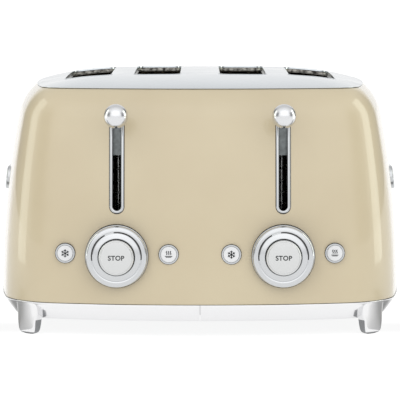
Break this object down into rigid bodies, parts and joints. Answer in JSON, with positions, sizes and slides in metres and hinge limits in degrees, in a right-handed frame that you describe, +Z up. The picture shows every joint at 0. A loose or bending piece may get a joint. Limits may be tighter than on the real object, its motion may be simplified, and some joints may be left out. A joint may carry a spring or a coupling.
{
  "type": "pop up toaster",
  "caption": "Wide rounded toaster in cream enamel with a bright top, skirt and feet, bread slots from front to back, and twin sliding levers and turning dials.",
  "frame": {"origin": "on the surface that the toaster stands on, under the middle of its overall width and depth", "axes": "+Z up, -Y out of the front with the levers and dials, +X to the right as seen from the front"},
  "size_m": [0.3474, 0.395, 0.215],
  "materials": {
    "cream_enamel": "gloss cream enamel over pressed steel",
    "polished_steel": "polished stainless steel",
    "chrome_plate": "bright chrome plate",
    "satin_silver": "satin silver, fine radial turning",
    "button_plastic": "pale grey moulded plastic",
    "rubber_pads": "soft black rubber",
    "black_plastic": "black moulded plastic",
    "zinc_steel": "zinc-plated sheet steel",
    "wire_steel": "drawn steel wire and rod",
    "mica": "pressed mica sheet",
    "heating_ribbon": "oxidised nickel-chromium ribbon",
    "circuit_board": "solder-masked glass laminate",
    "magnet_coil": "varnished copper winding"
  },
  "bodies": {
    "housing": {"outer_shell": "cream_enamel", "top_cover": "polished_steel", "base_skirt_left": "chrome_plate", "base_skirt_right": "chrome_plate", "foot_pads": "rubber_pads", "base_plate": "zinc_steel", "lever_trim_left": "chrome_plate", "lever_trim_right": "chrome_plate", "dial_bezel_left": "chrome_plate", "dial_bezel_right": "chrome_plate", "button_rings": "chrome_plate", "side_badge_left": "chrome_plate", "side_badge_right": "chrome_plate", "cord_inlet": "black_plastic", "chassis_front": "zinc_steel", "chassis_rear": "zinc_steel", "heat_shields": "zinc_steel", "heater_boards_left": "mica", "heater_boards_right": "mica", "heater_wires_left": "heating_ribbon", "heater_wires_right": "heating_ribbon", "guide_rods": "wire_steel", "return_spring_left": "wire_steel", "return_spring_right": "wire_steel", "electromagnet_left": "magnet_coil", "electromagnet_right": "magnet_coil", "control_board_left": "circuit_board", "control_board_right": "circuit_board", "base_screws": "zinc_steel", "terminal_block": "black_plastic", "tray_rails": "zinc_steel"},
    "lever_left": {"carriage_left": "zinc_steel", "bread_racks_left": "wire_steel", "armature_left": "zinc_steel", "lever_arm_left": "zinc_steel", "lever_knob_left": "chrome_plate"},
    "lever_right": {"carriage_right": "zinc_steel", "bread_racks_right": "wire_steel", "armature_right": "zinc_steel", "lever_arm_right": "zinc_steel", "lever_knob_right": "chrome_plate"},
    "guide_1": {"bread_guide_1": "wire_steel"},
    "guide_2": {"bread_guide_2": "wire_steel"},
    "guide_3": {"bread_guide_3": "wire_steel"},
    "guide_4": {"bread_guide_4": "wire_steel"},
    "guide_5": {"bread_guide_5": "wire_steel"},
    "guide_6": {"bread_guide_6": "wire_steel"},
    "guide_7": {"bread_guide_7": "wire_steel"},
    "guide_8": {"bread_guide_8": "wire_steel"},
    "dial_left": {"dial_left": "satin_silver"},
    "stop_left": {"stop_button_left": "satin_silver"},
    "defrost_left": {"defrost_button_left": "button_plastic"},
    "reheat_left": {"reheat_button_left": "button_plastic"},
    "tray_left": {"crumb_tray_left": "zinc_steel"},
    "dial_right": {"dial_right": "satin_silver"},
    "stop_right": {"stop_button_right": "satin_silver"},
    "defrost_right": {"defrost_button_right": "button_plastic"},
    "reheat_right": {"reheat_button_right": "button_plastic"},
    "tray_right": {"crumb_tray_right": "zinc_steel"}
  },
  "joints": [
    {"name": "lever_slide_left", "type": "slide", "parent": "housing", "child": "lever_left", "axis": [0, 0, -1], "range_m": [0, 0.07], "stiffness_N_per_m": 60, "springref_m": -0.14, "deforming": ["return_spring_left"]},
    {"name": "lever_slide_right", "type": "slide", "parent": "housing", "child": "lever_right", "axis": [0, 0, -1], "range_m": [0, 0.07], "stiffness_N_per_m": 60, "springref_m": -0.14, "deforming": ["return_spring_right"]},
    {"name": "guide_swing_1", "type": "hinge", "parent": "housing", "child": "guide_1", "pos_m": [-0.1129, 0, 0.052], "axis": [0, 1, 0], "range_deg": [0, 3.6]},
    {"name": "guide_swing_2", "type": "hinge", "parent": "housing", "child": "guide_2", "pos_m": [-0.0779, 0, 0.052], "axis": [0, -1, 0], "range_deg": [0, 3.6]},
    {"name": "guide_swing_3", "type": "hinge", "parent": "housing", "child": "guide_3", "pos_m": [-0.0539, 0, 0.052], "axis": [0, 1, 0], "range_deg": [0, 3.6]},
    {"name": "guide_swing_4", "type": "hinge", "parent": "housing", "child": "guide_4", "pos_m": [-0.0189, 0, 0.052], "axis": [0, -1, 0], "range_deg": [0, 3.6]},
    {"name": "guide_swing_5", "type": "hinge", "parent": "housing", "child": "guide_5", "pos_m": [0.0189, 0, 0.052], "axis": [0, 1, 0], "range_deg": [0, 3.6]},
    {"name": "guide_swing_6", "type": "hinge", "parent": "housing", "child": "guide_6", "pos_m": [0.0539, 0, 0.052], "axis": [0, -1, 0], "range_deg": [0, 3.6]},
    {"name": "guide_swing_7", "type": "hinge", "parent": "housing", "child": "guide_7", "pos_m": [0.0779, 0, 0.052], "axis": [0, 1, 0], "range_deg": [0, 3.6]},
    {"name": "guide_swing_8", "type": "hinge", "parent": "housing", "child": "guide_8", "pos_m": [0.1129, 0, 0.052], "axis": [0, -1, 0], "range_deg": [0, 3.6]},
    {"name": "dial_turn_left", "type": "hinge", "parent": "housing", "child": "dial_left", "pos_m": [-0.0686, -0.178, 0.068], "axis": [0, -1, 0], "range_deg": [-135, 135]},
    {"name": "stop_press_left", "type": "slide", "parent": "housing", "child": "stop_left", "axis": [0, 1, 0], "range_m": [0, 0.002], "stiffness_N_per_m": 400, "springref_m": -0.002},
    {"name": "defrost_press_left", "type": "slide", "parent": "housing", "child": "defrost_left", "axis": [0, 1, 0], "range_m": [0, 0.0016], "stiffness_N_per_m": 300, "springref_m": -0.002},
    {"name": "reheat_press_left", "type": "slide", "parent": "housing", "child": "reheat_left", "axis": [0, 1, 0], "range_m": [0, 0.0016], "stiffness_N_per_m": 300, "springref_m": -0.002},
    {"name": "tray_slide_left", "type": "slide", "parent": "housing", "child": "tray_left", "axis": [0, 1, 0], "range_m": [0, 0.26]},
    {"name": "dial_turn_right", "type": "hinge", "parent": "housing", "child": "dial_right", "pos_m": [0.0686, -0.178, 0.068], "axis": [0, -1, 0], "range_deg": [-135, 135]},
    {"name": "stop_press_right", "type": "slide", "parent": "housing", "child": "stop_right", "axis": [0, 1, 0], "range_m": [0, 0.002], "stiffness_N_per_m": 400, "springref_m": -0.002},
    {"name": "defrost_press_right", "type": "slide", "parent": "housing", "child": "defrost_right", "axis": [0, 1, 0], "range_m": [0, 0.0016], "stiffness_N_per_m": 300, "springref_m": -0.002},
    {"name": "reheat_press_right", "type": "slide", "parent": "housing", "child": "reheat_right", "axis": [0, 1, 0], "range_m": [0, 0.0016], "stiffness_N_per_m": 300, "springref_m": -0.002},
    {"name": "tray_slide_right", "type": "slide", "parent": "housing", "child": "tray_right", "axis": [0, 1, 0], "range_m": [0, 0.26]}
  ],
  "couplings": [
    {"joint": "guide_swing_1", "follows": "lever_slide_left", "rad_per_m": 0.87},
    {"joint": "guide_swing_2", "follows": "lever_slide_left", "rad_per_m": 0.87},
    {"joint": "guide_swing_3", "follows": "lever_slide_left", "rad_per_m": 0.87},
    {"joint": "guide_swing_4", "follows": "lever_slide_left", "rad_per_m": 0.87},
    {"joint": "guide_swing_5", "follows": "lever_slide_right", "rad_per_m": 0.87},
    {"joint": "guide_swing_6", "follows": "lever_slide_right", "rad_per_m": 0.87},
    {"joint": "guide_swing_7", "follows": "lever_slide_right", "rad_per_m": 0.87},
    {"joint": "guide_swing_8", "follows": "lever_slide_right", "rad_per_m": 0.87}
  ]
}
